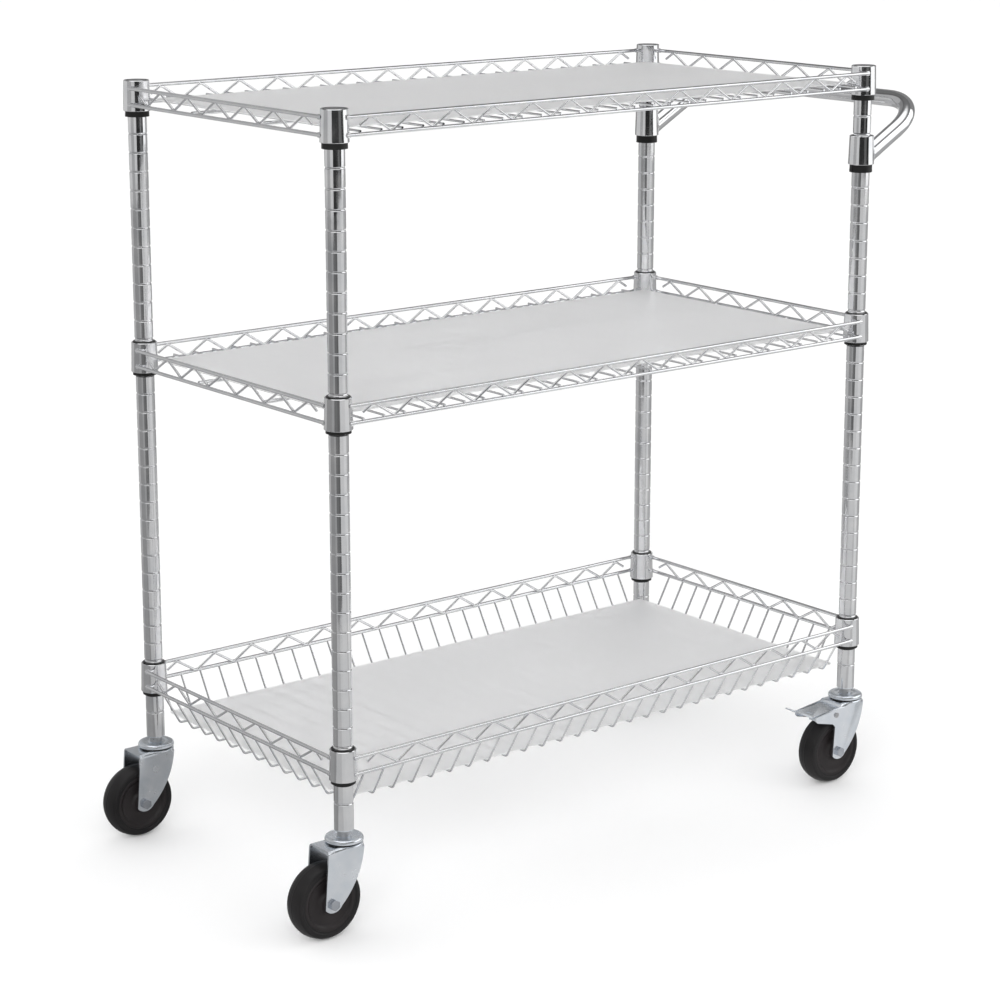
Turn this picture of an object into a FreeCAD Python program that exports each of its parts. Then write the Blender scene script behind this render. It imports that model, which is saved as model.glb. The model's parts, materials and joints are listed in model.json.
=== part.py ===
import FreeCAD, Part
import math
import os

# Wire shelf cart: two flat wire shelves over a shallow wire basket, on four grooved posts
# with swivel casters and a bent-tube push handle at the +X end.
# Millimetres. +X runs towards the handle, +Z is up, and the origin is on the floor below
# the middle of the overall box.

V = FreeCAD.Vector
UP = V(0, 0, 1)
ACROSS = V(0, 1, 0)
FULL_TURN = 360

# Driving dimensions
POST_SPAN_X = 914.4            # between post axes, 36 in
POST_SPAN_Y = 457.2            # between post axes, 18 in
POST_TOP = 1060.0
POST_BASE = 139.0              # the posts stand on the necks of the caster stems
POST_R = 12.7
POST_BORE_R = 11.45
CAP_T = 1.5                    # flange of the post caps and of the caster sockets
CAP_EDGE = 0.6
CAP_SPIGOT = 14.0
CAP_WALL = 1.5
SOCKET_H = 44.0

GROOVE_PITCH = 25.4
GROOVE_FIRST = 20.5            # below the top of the post
GROOVE_HALF_W = 1.7
GROOVE_DEPTH = 0.8

MIDDLE_DROP = 14 * GROOVE_PITCH
BASKET_DROP = 32 * GROOVE_PITCH
HANDLE_DROP = 99.0
COLLAR_H = 41.0
COLLAR_R_TOP = 17.25
COLLAR_R_BASE = 18.4
COLLAR_EDGE = 0.7

SLEEVE_H = 46.5
SLEEVE_R_IN = 12.75
SLEEVE_R_BASE = 16.25
SLEEVE_R_TOP = 15.15
SLEEVE_RIDGE = 0.55
SLEEVE_ARC = 176               # degrees of each half
FIT_GAP = 0.03

RAIL_R = 2.5
RAIL_OUT = 16.0                # rail axis outside the line of the posts
RAIL_START = 6.0               # rails end this far short of the post axis
UPPER_RAIL = 10.0              # below the top of the collar
LOWER_RAIL = 32.0

TRUSS_R = 1.7
TRUSS_OUT = RAIL_OUT - RAIL_R - TRUSS_R
TRUSS_START = 29.4
TRUSS_HIGH = 11.1              # corner heights of the zig-zag, below the collar top
TRUSS_LOW = 31.4
TRUSS_BEND = 6.0
LONG_HALF_WAVES = 27
SHORT_HALF_WAVES = 12

WIRE_R = 1.5
DECK_WIRES = 28
DECK_FIRST = 26.0
DECK_PITCH = (POST_SPAN_X - 2 * TRUSS_START) / LONG_HALF_WAVES
DECK_OVERHANG = 17.5
DECK_ROD_OUT = 9.8
DECK_ROD_Y = (-76.2, 76.2)
WELD = 0.5

BASKET_LONG_FIRST = 22.0
BASKET_LONG_PITCH = 31.65
BASKET_SHORT_WIRES = 12
BASKET_SHORT_PITCH = 32.4
BASKET_FLOOR = 75.2            # axis of the crosswise floor wires, below the collar top
BASKET_SLOPE_IN = 10.0         # wall wires turn this far inside the line of the posts
BASKET_BEND = 5.0
BASKET_RUN = 6.0               # level run of a wall wire before the floor wire begins
BASKET_WELD = 0.4
WALL_WIRE_SINK = 1.0           # a wall wire's end lies this far inside its rail's axis

LINER_T = 1.5
LINER_INSET = 14.0
BASKET_LINER_INSET = 14.0
LINER_CORNER = 6.0

HANDLE_R = 12.0
HANDLE_BORE_R = 10.5
HANDLE_REACH = 132.0
HANDLE_ROOT_DROP = 134.8       # where the strut's axis meets the post's axis
HANDLE_GRIP_DROP = 60.5
HANDLE_BEND = 72.0

WHEEL_R = 51.0
TRAIL = 33.0
AXLE_DROP = POST_BASE - WHEEL_R
TYRE_HALF_W = 16.0
TREAD_SHOULDER_R = 46.5
CORE_R = 38.5
CORE_HALF_W = 14.5
WEB_R = 33.0
WEB_HALF_W = 11.0
HUB_R = 12.0
HUB_HALF_W = 18.6
BUSH_R = 6.2
BUSH_BORE_R = 4.05
AXLE_R = 4.0
AXLE_FLATS = 13.0
AXLE_HEAD_T = 5.0
RUNNING_GAP = 0.06

FORK_HALF_W = 22.0
FORK_T = 2.5
FORK_TOP = 16.1                # below the base of the post
FORK_BEND = 5.5                # outside radius where the top turns down into the legs
FORK_REACH = 110.0             # beyond any fork, from the swivel axis
PLATE_END = 27.0               # a braked fork's top plate ends here, before the pedal
SHOULDER_R = 24.6              # round top plate, which tapers into the legs
SHOULDER_H = 12.0
SHOULDER_EDGE = 1.2
RACE_TOP = 15.1
RACE_R = 22.0
RACE_R_IN = 13.5
RACE_EDGE = 0.5
NECK_R = 8.8                   # of the stem, between the post and the swivel cap
SWIVEL_CAP_R = 25.2
SWIVEL_CAP_TOP = 8.0
SWIVEL_CAP_BASE = 14.4
CAP_SKIRT_T = 2.0
KING_R = 5.0
RIVET_R = 9.0                  # head under the fork, at the foot of the kingpin
RIVET_T = 2.5
RIVET_GAP = 0.3
STEM_R = 5.5
STEM_H = 38.0
BALL_R = 2.5
BALL_PITCH_R = 18.0
BALL_COUNT = 16
BALL_AXIS = 12.3

PEDAL_HALF_W = 17.5
PEDAL_T = 2.0
PEDAL_PIN_X = 40.0
PEDAL_PIN_DROP = 30.0
PEDAL_PIN_R = 2.5
PIN_HEAD_R = 4.0
PIN_HEAD_T = 1.2
SHOE_GAP = 4.0                 # a fully pressed pedal leaves the shoe 0.3 mm off the tyre
SHOE_HALF_W = 12.5
SLOT_X = 74.0
SLOT_W = 10.0
SLOT_L = 4.0

SHELF_X = (TRAIL + WHEEL_R - HANDLE_REACH - HANDLE_R) / 2
HALF_X = POST_SPAN_X / 2
HALF_Y = POST_SPAN_Y / 2

POSTS = {
    "front_left": V(SHELF_X - HALF_X, -HALF_Y, 0),
    "front_right": V(SHELF_X + HALF_X, -HALF_Y, 0),
    "rear_left": V(SHELF_X - HALF_X, HALF_Y, 0),
    "rear_right": V(SHELF_X + HALF_X, HALF_Y, 0),
}
HANDLE_POSTS = ("front_right", "rear_right")

# Each side of a shelf runs from one post along a direction, and has an outward normal.
SIDES = {
    "front": (POSTS["front_left"], V(1, 0, 0), V(0, -1, 0), POST_SPAN_X),
    "rear": (POSTS["rear_right"], V(-1, 0, 0), V(0, 1, 0), POST_SPAN_X),
    "left": (POSTS["front_left"], V(0, 1, 0), V(-1, 0, 0), POST_SPAN_Y),
    "right": (POSTS["rear_right"], V(0, -1, 0), V(1, 0, 0), POST_SPAN_Y),
}

# Top of the collars, and how far each black sleeve shows below its collar.
SHELVES = {
    "top_shelf": (POST_TOP, 7.5),
    "middle_shelf": (POST_TOP - MIDDLE_DROP, 4.3),
    "basket": (POST_TOP - BASKET_DROP, 4.3),
}
HANDLE_COLLAR = (POST_TOP - HANDLE_DROP, 11.0)


# Helpers

def save(node, shapes):
    """Write one node: a single shape, or a list of separate solids."""
    shape = Part.makeCompound(shapes) if isinstance(shapes, list) else shapes
    shape.exportStep("parts/" + node + ".step")


def rod(start, end, radius):
    return Part.makeCylinder(radius, (end - start).Length, start, end - start)


def revolved(outline, turn=FULL_TURN):
    """Solid of revolution about Z from (radius, height) points."""
    points = [V(r, 0, z) for r, z in outline]
    face = Part.Face(Part.makePolygon(points + points[:1]))
    return face.revolve(V(0, 0, 0), UP, turn)


def prism(outline, half_width):
    """Side outline in X and Z, drawn out to both sides along Y."""
    points = [V(x, -half_width, z) for x, z in outline]
    face = Part.Face(Part.makePolygon(points + points[:1]))
    return face.extrude(ACROSS * (2 * half_width))


def moved(shape, offset):
    return shape.translated(offset)


def at_posts(shape, names=POSTS):
    return [moved(shape, POSTS[name]) for name in names]


def joined(shapes):
    """Welded piece: the shapes fused into one solid."""
    return shapes[0].multiFuse(shapes[1:])


def rounded_path(points, radius):
    """Straight runs joined by a tangent arc at each inner point."""
    edges = []
    start = points[0]
    for before, corner, after in zip(points, points[1:], points[2:]):
        back = (before - corner).normalize()
        ahead = (after - corner).normalize()
        half = back.getAngle(ahead) / 2
        reach = radius / math.tan(half)
        towards_centre = (back + ahead).normalize()
        arc_mid = corner + towards_centre * (radius / math.sin(half) - radius)
        arc_end = corner + ahead * reach
        edges.append(Part.LineSegment(start, corner + back * reach).toShape())
        edges.append(Part.Arc(corner + back * reach, arc_mid, arc_end).toShape())
        start = arc_end
    edges.append(Part.LineSegment(start, points[-1]).toShape())
    return Part.Wire(edges)


def bent_rod(points, bend, radius):
    section = Part.Wire(Part.makeCircle(radius, points[0], points[1] - points[0]))
    return rounded_path(points, bend).makePipeShell([section], True, False)


def largest(shape):
    return max(shape.Solids, key=lambda solid: solid.Volume)


def side_point(side, along, out, height):
    start, direction, outward, _ = SIDES[side]
    return start + direction * along + outward * out + UP * height


# Posts

def post():
    """Tube with a ring groove every inch."""
    base = POST_BASE + CAP_T
    top = POST_TOP - CAP_T
    edges = []
    height = POST_TOP - GROOVE_FIRST
    last = V(POST_R, 0, top)
    while height > base + GROOVE_PITCH / 2:
        upper = V(POST_R, 0, height + GROOVE_HALF_W)
        lower = V(POST_R, 0, height - GROOVE_HALF_W)
        edges.append(Part.LineSegment(last, upper).toShape())
        edges.append(Part.Arc(upper, V(POST_R - GROOVE_DEPTH, 0, height), lower).toShape())
        last = lower
        height -= GROOVE_PITCH
    ends = [last, V(POST_R, 0, base), V(POST_BORE_R, 0, base), V(POST_BORE_R, 0, top), V(POST_R, 0, top)]
    edges += [Part.LineSegment(a, b).toShape() for a, b in zip(ends, ends[1:])]
    return Part.Face(Part.Wire(edges)).revolve(V(0, 0, 0), UP, FULL_TURN)


def post_cap():
    spigot = POST_BORE_R - FIT_GAP
    top = POST_TOP
    inner = spigot - CAP_WALL
    foot = top - CAP_SPIGOT
    ceiling = top - CAP_T - CAP_WALL
    return revolved([(0, top), (POST_R - CAP_EDGE, top), (POST_R, top - CAP_EDGE), (POST_R, top - CAP_T),
                     (spigot, top - CAP_T), (spigot, foot), (inner, foot), (inner, ceiling), (0, ceiling)])


def caster_socket():
    """Insert in the foot of a post, which the caster's stem presses into."""
    spigot = POST_BORE_R - FIT_GAP
    bore = STEM_R + FIT_GAP
    base = POST_BASE
    return revolved([(bore, base), (POST_R, base), (POST_R, base + CAP_T), (spigot, base + CAP_T),
                     (spigot, base + SOCKET_H), (bore, base + SOCKET_H)])


def sleeve_radius(below_top):
    return SLEEVE_R_TOP + (SLEEVE_R_BASE - SLEEVE_R_TOP) * below_top / SLEEVE_H


def sleeve_half(collar_top, ring):
    """Half of a split tapered sleeve, with a ridge that sits in a groove of the post."""
    base = collar_top - COLLAR_H - ring
    top = base + SLEEVE_H
    steps = math.floor((POST_TOP - GROOVE_FIRST - base) / GROOVE_PITCH)
    ridge = POST_TOP - GROOVE_FIRST - steps * GROOVE_PITCH
    if ridge - base < GROOVE_PITCH / 2:
        ridge += GROOVE_PITCH
    inner = SLEEVE_R_IN
    return revolved([(inner, base), (SLEEVE_R_BASE, base), (SLEEVE_R_TOP, top), (inner, top),
                     (inner, ridge + 1), (inner - SLEEVE_RIDGE, ridge + 0.5),
                     (inner - SLEEVE_RIDGE, ridge - 0.5), (inner, ridge - 1)], SLEEVE_ARC)


def sleeves(names, collar_top, ring):
    half = sleeve_half(collar_top, ring)
    other = half.rotated(V(0, 0, 0), UP, FULL_TURN / 2)
    return at_posts(half, names) + at_posts(other, names)


def collar(collar_top, ring):
    """Tapered ring whose bore fits the sleeve's taper."""
    base = collar_top - COLLAR_H
    sleeve_top = base - ring + SLEEVE_H
    bore_top = sleeve_radius(sleeve_top - collar_top) + FIT_GAP
    bore_base = sleeve_radius(sleeve_top - base) + FIT_GAP
    return revolved([(bore_base, base), (COLLAR_R_BASE - COLLAR_EDGE, base),
                     (COLLAR_R_BASE, base + COLLAR_EDGE), (COLLAR_R_TOP, collar_top - COLLAR_EDGE),
                     (COLLAR_R_TOP - COLLAR_EDGE, collar_top), (bore_top, collar_top)])


def collar_space(collar_top):
    """The collar's outside as a solid, for trimming what is welded to it."""
    return Part.makeCone(COLLAR_R_BASE, COLLAR_R_TOP, COLLAR_H, V(0, 0, collar_top - COLLAR_H))


# Shelf rims

def rail(side, collar_top, drop):
    length = SIDES[side][3]
    start = side_point(side, RAIL_START, RAIL_OUT, collar_top - drop)
    end = side_point(side, length - RAIL_START, RAIL_OUT, collar_top - drop)
    bar = rod(start, end, RAIL_R)
    for space in at_posts(collar_space(collar_top)):
        if space.BoundBox.intersect(bar.BoundBox):
            bar = bar.cut(space)
    return bar


def truss_wire(side, collar_top):
    """Zig-zag wire between the two rails of one side."""
    length = SIDES[side][3]
    waves = LONG_HALF_WAVES if length == POST_SPAN_X else SHORT_HALF_WAVES
    step = (length - 2 * TRUSS_START) / waves
    middle = collar_top - (TRUSS_HIGH + TRUSS_LOW) / 2
    points = [side_point(side, TRUSS_START, TRUSS_OUT, middle)]
    for wave in range(waves):
        drop = TRUSS_LOW if wave % 2 else TRUSS_HIGH
        along = TRUSS_START + (wave + 0.5) * step
        points.append(side_point(side, along, TRUSS_OUT, collar_top - drop))
    points.append(side_point(side, length - TRUSS_START, TRUSS_OUT, middle))
    return bent_rod(points, TRUSS_BEND, TRUSS_R)


def deck(collar_top):
    """Crosswise wires welded over two lengthwise rods."""
    wire_z = collar_top - LOWER_RAIL + RAIL_R + WIRE_R
    rod_z = wire_z - WIRE_R - RAIL_R + WELD
    half_y = HALF_Y + DECK_OVERHANG
    half_x = HALF_X + DECK_ROD_OUT
    bars = []
    for number in range(DECK_WIRES):
        x = SHELF_X - HALF_X + DECK_FIRST + number * DECK_PITCH
        bars.append(rod(V(x, -half_y, wire_z), V(x, half_y, wire_z), WIRE_R))
    for y in DECK_ROD_Y:
        bars.append(rod(V(SHELF_X - half_x, y, rod_z), V(SHELF_X + half_x, y, rod_z), RAIL_R))
    return joined(bars)


def liner(top, inset):
    """Flat plastic sheet with rounded corners."""
    half_x = HALF_X - inset
    half_y = HALF_Y - inset
    corner = V(SHELF_X - half_x, -half_y, top - LINER_T)
    sheet = Part.makeBox(2 * half_x, 2 * half_y, LINER_T, corner)
    uprights = [e for e in sheet.Edges if abs(e.tangentAt(e.FirstParameter).z) > 0.9]
    return sheet.makeFillet(LINER_CORNER, uprights)


def flat_shelf(name, collar_top, ring):
    save(name + "_collars", at_posts(collar(collar_top, ring)))
    save(name + "_upper_rails", [rail(side, collar_top, UPPER_RAIL) for side in SIDES])
    save(name + "_lower_rails", [rail(side, collar_top, LOWER_RAIL) for side in SIDES])
    save(name + "_truss_wires", [truss_wire(side, collar_top) for side in SIDES])
    save(name + "_deck", deck(collar_top))
    save(name + "_liner", liner(collar_top - LOWER_RAIL + RAIL_R + 2 * WIRE_R + LINER_T, LINER_INSET))
    save(name + "_sleeves", sleeves(POSTS, collar_top, ring))


# Basket

def long_positions():
    return [BASKET_LONG_FIRST + number * BASKET_LONG_PITCH for number in range(DECK_WIRES)]


def short_positions():
    margin = (POST_SPAN_Y - (BASKET_SHORT_WIRES - 1) * BASKET_SHORT_PITCH) / 2
    return [margin + number * BASKET_SHORT_PITCH for number in range(BASKET_SHORT_WIRES)]


def wall_positions(side):
    """Places of a wall's wires, measured along that side from where it starts."""
    if side == "front":
        return long_positions()
    if side == "rear":
        return [POST_SPAN_X - along for along in long_positions()]
    return short_positions()


def basket_wall(side, collar_top, floor_z):
    """A lower rail with the wall wires that hang from it and turn in under the floor."""
    inner = BASKET_SLOPE_IN + BASKET_RUN
    rail_z = collar_top - LOWER_RAIL
    bars = [rail(side, collar_top, LOWER_RAIL)]
    for along in wall_positions(side):
        points = [side_point(side, along, RAIL_OUT - WALL_WIRE_SINK, rail_z - WALL_WIRE_SINK),
                  side_point(side, along, -BASKET_SLOPE_IN, floor_z),
                  side_point(side, along, -inner, floor_z)]
        bars.append(bent_rod(points, BASKET_BEND, WIRE_R))
    return joined(bars)


def basket_floor(cross_z, long_z):
    half_x = HALF_X - BASKET_SLOPE_IN - BASKET_RUN
    half_y = HALF_Y - BASKET_SLOPE_IN - BASKET_RUN
    bars = []
    for along in long_positions():
        x = SHELF_X - HALF_X + along
        bars.append(rod(V(x, -half_y, cross_z), V(x, half_y, cross_z), WIRE_R))
    for along in short_positions():
        y = along - HALF_Y
        bars.append(rod(V(SHELF_X - half_x, y, long_z), V(SHELF_X + half_x, y, long_z), WIRE_R))
    return joined(bars)


def basket(name, collar_top, ring):
    cross_z = collar_top - BASKET_FLOOR
    long_z = cross_z - 2 * WIRE_R + BASKET_WELD
    save(name + "_collars", at_posts(collar(collar_top, ring)))
    save(name + "_upper_rails", [rail(side, collar_top, UPPER_RAIL) for side in SIDES])
    save(name + "_truss_wires", [truss_wire(side, collar_top) for side in SIDES])
    for side in SIDES:
        floor_z = cross_z if side in ("front", "rear") else long_z
        save(name + "_" + side + "_wall", basket_wall(side, collar_top, floor_z))
    save(name + "_floor", basket_floor(cross_z, long_z))
    save(name + "_liner", liner(cross_z + WIRE_R + LINER_T, BASKET_LINER_INSET))
    save(name + "_sleeves", sleeves(POSTS, collar_top, ring))


# Push handle

def handle_tube():
    """One tube bent into two struts and a grip, trimmed to the collars it is welded to."""
    root_z = POST_TOP - HANDLE_ROOT_DROP
    grip_z = POST_TOP - HANDLE_GRIP_DROP
    near, far = POSTS["front_right"], POSTS["rear_right"]
    out = V(HANDLE_REACH, 0, 0)
    points = [near + UP * root_z, near + out + UP * grip_z, far + out + UP * grip_z, far + UP * root_z]
    tube = bent_rod(points, HANDLE_BEND, HANDLE_R).cut(bent_rod(points, HANDLE_BEND, HANDLE_BORE_R))
    for space in at_posts(collar_space(HANDLE_COLLAR[0]), HANDLE_POSTS):
        tube = tube.cut(space)
    return largest(tube)


def handle():
    collar_top, ring = HANDLE_COLLAR
    save("handle_tube", handle_tube())
    save("handle_collars", at_posts(collar(collar_top, ring), HANDLE_POSTS))
    save("handle_sleeves", sleeves(HANDLE_POSTS, collar_top, ring))


# Casters. Built round the swivel axis, with height 0 at the foot of the post.

def caster_stem():
    """Stem in the post, neck on the swivel cap, kingpin below, and the riveted head under the fork."""
    head_top = -(FORK_TOP + FORK_T + RIVET_GAP)
    head_base = head_top - RIVET_T
    cap_top = -SWIVEL_CAP_TOP
    return revolved([(0, STEM_H), (STEM_R - 1, STEM_H), (STEM_R, STEM_H - 1), (STEM_R, 0), (NECK_R, 0),
                     (NECK_R, cap_top), (KING_R, cap_top), (KING_R, head_top), (RIVET_R, head_top),
                     (RIVET_R - 1, head_base), (0, head_base)])


def swivel_cap():
    """Round-edged upper race that covers the balls."""
    radius = SWIVEL_CAP_R
    skirt = radius - CAP_SKIRT_T
    top = -SWIVEL_CAP_TOP
    base = -SWIVEL_CAP_BASE
    race = BALL_R - BALL_AXIS
    bore = KING_R + FIT_GAP
    return revolved([(bore, top), (radius - 4.6, top), (radius - 2.5, top - 0.6), (radius - 1, top - 1.8),
                     (radius - 0.2, top - 3.4), (radius, top - 4.6), (radius, base), (skirt, base),
                     (skirt, race - 2.4), (skirt - 1.9, race), (bore, race)])


def swivel_balls():
    ball = Part.makeSphere(BALL_R, V(BALL_PITCH_R, 0, -BALL_AXIS))
    return [ball.rotated(V(0, 0, 0), UP, FULL_TURN * number / BALL_COUNT) for number in range(BALL_COUNT)]


def fork_side(braked):
    """Side outline of a fork: bowed leading edge, round foot, and a trailing edge under the plate."""
    top = -FORK_TOP
    shoulder, heel, toe = V(16, 0, top - 4), V(-19.5, 0, -92), V(-45.2, 0, -93.5)
    edge = Part.Arc(shoulder, V(8.3, 0, -52), heel).toShape()
    foot = Part.Arc(heel, V(-32.5, 0, -99.5), toe).toShape()
    if braked:
        corners = [toe, V(-42, 0, -48), V(-47, 0, -43), V(-79, 0, -35), V(-82, 0, -32),
                   V(-82, 0, -26), V(-30, 0, -20.5), V(-27, 0, top), V(16, 0, top), shoulder]
    else:
        corners = [toe, V(-39, 0, top), V(16, 0, top), shoulder]
    lines = [Part.LineSegment(a, b).toShape() for a, b in zip(corners, corners[1:])]
    face = Part.Face(Part.Wire([edge, foot] + lines))
    return face.extrude(ACROSS * (2 * FORK_HALF_W)).translated(V(0, -FORK_HALF_W, 0))


def fork(braked):
    """Pressed channel with a round shoulder and a race ring, bored for the kingpin and the axle."""
    inner_half = FORK_HALF_W - FORK_T
    plate_base = -(FORK_TOP + FORK_T)
    shell = bent_edges(fork_side(braked), FORK_BEND, -FORK_TOP)
    length = 2 * FORK_REACH
    depth = AXLE_DROP + WHEEL_R
    space = Part.makeBox(length, 2 * inner_half, depth, V(-FORK_REACH, -inner_half, plate_base - depth))
    body = shell.fuse(fork_shoulder()).cut(bent_edges(space, FORK_BEND - FORK_T, plate_base))
    if braked:
        open_end = Part.makeBox(FORK_REACH - PLATE_END, 2 * inner_half, depth)
        body = body.cut(moved(open_end, V(-FORK_REACH, -inner_half, -depth)))
    race_base = -FORK_TOP - WELD
    race = revolved([(RACE_R, race_base), (RACE_R, -RACE_TOP - RACE_EDGE), (RACE_R - RACE_EDGE, -RACE_TOP),
                     (RACE_R_IN, -RACE_TOP), (RACE_R_IN, race_base)])
    body = body.fuse(race)
    body = body.cut(Part.makeCylinder(KING_R + RUNNING_GAP, depth, V(0, 0, -depth)))
    body = body.cut(rod_across(AXLE_R + FIT_GAP, -TRAIL, -AXLE_DROP, FORK_HALF_W + 1))
    if braked:
        body = body.cut(rod_across(PEDAL_PIN_R + FIT_GAP, -PEDAL_PIN_X, -PEDAL_PIN_DROP, FORK_HALF_W + 1))
    return body


def bent_edges(solid, radius, top):
    """Round the two long edges where a flat top turns down into the sides."""
    edges = [e for e in solid.Edges
             if abs(e.BoundBox.ZMin - top) < 0.01 and abs(e.BoundBox.ZMax - top) < 0.01
             and e.BoundBox.XLength > 20]
    return solid.makeFillet(radius, edges)


def fork_shoulder():
    """Round top plate, tapering in to the width of the legs."""
    top = -FORK_TOP
    return revolved([(0, top), (SHOULDER_R - SHOULDER_EDGE, top), (SHOULDER_R, top - SHOULDER_EDGE),
                     (SHOULDER_R, top - FORK_T), (FORK_HALF_W, top - SHOULDER_H), (0, top - SHOULDER_H)])


def rod_across(radius, x, z, half_width):
    return Part.makeCylinder(radius, 2 * half_width, V(x, -half_width, z), ACROSS)


def hexagon(flats, thickness, base, axis):
    radius = flats / math.sqrt(3)
    points = [V(radius * math.sin(math.radians(60 * k)), 0, radius * math.cos(math.radians(60 * k)))
              for k in range(7)]
    return Part.Face(Part.makePolygon(points)).extrude(axis * thickness).translated(base)


def axle_bolt():
    """Hex bolt and its nut, as two solids."""
    centre = V(-TRAIL, 0, -AXLE_DROP)
    end = FORK_HALF_W + AXLE_HEAD_T
    shank = rod_across(AXLE_R, -TRAIL, -AXLE_DROP, end)
    head = hexagon(AXLE_FLATS, AXLE_HEAD_T, centre - ACROSS * FORK_HALF_W, -ACROSS)
    nut = hexagon(AXLE_FLATS, AXLE_HEAD_T, centre + ACROSS * FORK_HALF_W, ACROSS)
    return [shank.fuse(head).removeSplitter(), nut.cut(shank)]


def axle_bush():
    half = FORK_HALF_W - FORK_T
    outer = rod_across(BUSH_R, -TRAIL, -AXLE_DROP, half)
    return outer.cut(rod_across(BUSH_BORE_R, -TRAIL, -AXLE_DROP, half))


def wheel_round(outline):
    """Turn a (radius, height) outline about the axle."""
    return revolved(outline).rotated(V(0, 0, 0), V(1, 0, 0), 90).translated(V(-TRAIL, 0, -AXLE_DROP))


def wheel_core():
    bore = BUSH_R + RUNNING_GAP
    half = [(bore, HUB_HALF_W), (HUB_R, HUB_HALF_W), (HUB_R + 1, CORE_HALF_W), (HUB_R + 3, WEB_HALF_W),
            (WEB_R, WEB_HALF_W), (WEB_R + 2, CORE_HALF_W), (CORE_R, CORE_HALF_W)]
    return wheel_round(half + [(r, -h) for r, h in reversed(half)])


def tyre():
    shoulder = TREAD_SHOULDER_R
    crown = Part.Arc(V(shoulder, 0, TYRE_HALF_W), V(WHEEL_R, 0, 0), V(shoulder, 0, -TYRE_HALF_W)).toShape()
    corners = [V(shoulder, 0, -TYRE_HALF_W), V(CORE_R, 0, -CORE_HALF_W),
               V(CORE_R, 0, CORE_HALF_W), V(shoulder, 0, TYRE_HALF_W)]
    lines = [Part.LineSegment(a, b).toShape() for a, b in zip(corners, corners[1:])]
    ring = Part.Face(Part.Wire([crown] + lines)).revolve(V(0, 0, 0), UP, FULL_TURN)
    return ring.rotated(V(0, 0, 0), V(1, 0, 0), 90).translated(V(-TRAIL, 0, -AXLE_DROP))


def brake_pedal():
    """Foot plate with a turned-up tail, two ears on the pin, and the shoe that meets the tyre."""
    half = PEDAL_HALF_W
    inner = half - PEDAL_T
    plate = prism([(-30, -21.4), (-84, -25.6), (-106, -14.6), (-107, -16.4), (-84, -28), (-30, -23.4)],
                  half)
    ear = prism([(-32, -23), (-32, -32), (-37, -35), (-43, -35), (-60, -27), (-60, -25)], half)
    ears = ear.cut(Part.makeBox(FORK_REACH, 2 * inner, AXLE_DROP, V(-FORK_REACH, -inner, -AXLE_DROP)))
    shoe = prism([(-50, -24), (-50, -45), (-62, -45), (-62, -25)], SHOE_HALF_W)
    shoe = shoe.cut(rod_across(WHEEL_R + SHOE_GAP, -TRAIL, -AXLE_DROP, half))
    body = plate.fuse([ears, shoe])
    body = body.cut(rod_across(PEDAL_PIN_R + RUNNING_GAP, -PEDAL_PIN_X, -PEDAL_PIN_DROP, half + 1))
    slot = Part.makeBox(SLOT_L, SLOT_W, AXLE_DROP, V(-SLOT_X - SLOT_L / 2, -SLOT_W / 2, -AXLE_DROP))
    return body.cut(slot)


def brake_pin():
    half = FORK_HALF_W
    pin = rod_across(PEDAL_PIN_R, -PEDAL_PIN_X, -PEDAL_PIN_DROP, half)
    heads = [Part.makeCylinder(PIN_HEAD_R, PIN_HEAD_T, V(-PEDAL_PIN_X, side * half, -PEDAL_PIN_DROP),
                               ACROSS * side)
             for side in (-1, 1)]
    return pin.fuse(heads).removeSplitter()


def casters():
    foot = UP * POST_BASE
    stem = moved(caster_stem(), foot)
    save("caster_stems", at_posts(stem))
    save("swivel_caps", at_posts(moved(swivel_cap(), foot)))
    balls = [moved(ball, foot) for ball in swivel_balls()]
    save("swivel_balls", [each for ball in balls for each in at_posts(ball)])
    for name, place in POSTS.items():
        braked = name in HANDLE_POSTS
        pieces = {"fork": fork(braked), "axle_bolt": axle_bolt(), "axle_bush": axle_bush(),
                  "wheel_core": wheel_core(), "tyre": tyre()}
        if braked:
            pieces["brake_pedal"] = brake_pedal()
            pieces["brake_pin"] = brake_pin()
        for piece, shape in pieces.items():
            solids = shape if isinstance(shape, list) else [shape]
            save(name + "_" + piece, [moved(solid, foot + place) for solid in solids])


def main():
    os.makedirs("parts", exist_ok=True)
    for name, solid in zip(POSTS, at_posts(post())):
        save(name + "_post", solid)
    save("post_caps", at_posts(post_cap()))
    save("caster_sockets", at_posts(caster_socket()))
    flat_shelf("top_shelf", *SHELVES["top_shelf"])
    flat_shelf("middle_shelf", *SHELVES["middle_shelf"])
    basket("basket", *SHELVES["basket"])
    handle()
    casters()


main()
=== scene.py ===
import json
import math

import bmesh
import bpy
from mathutils import Matrix, Vector

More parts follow.
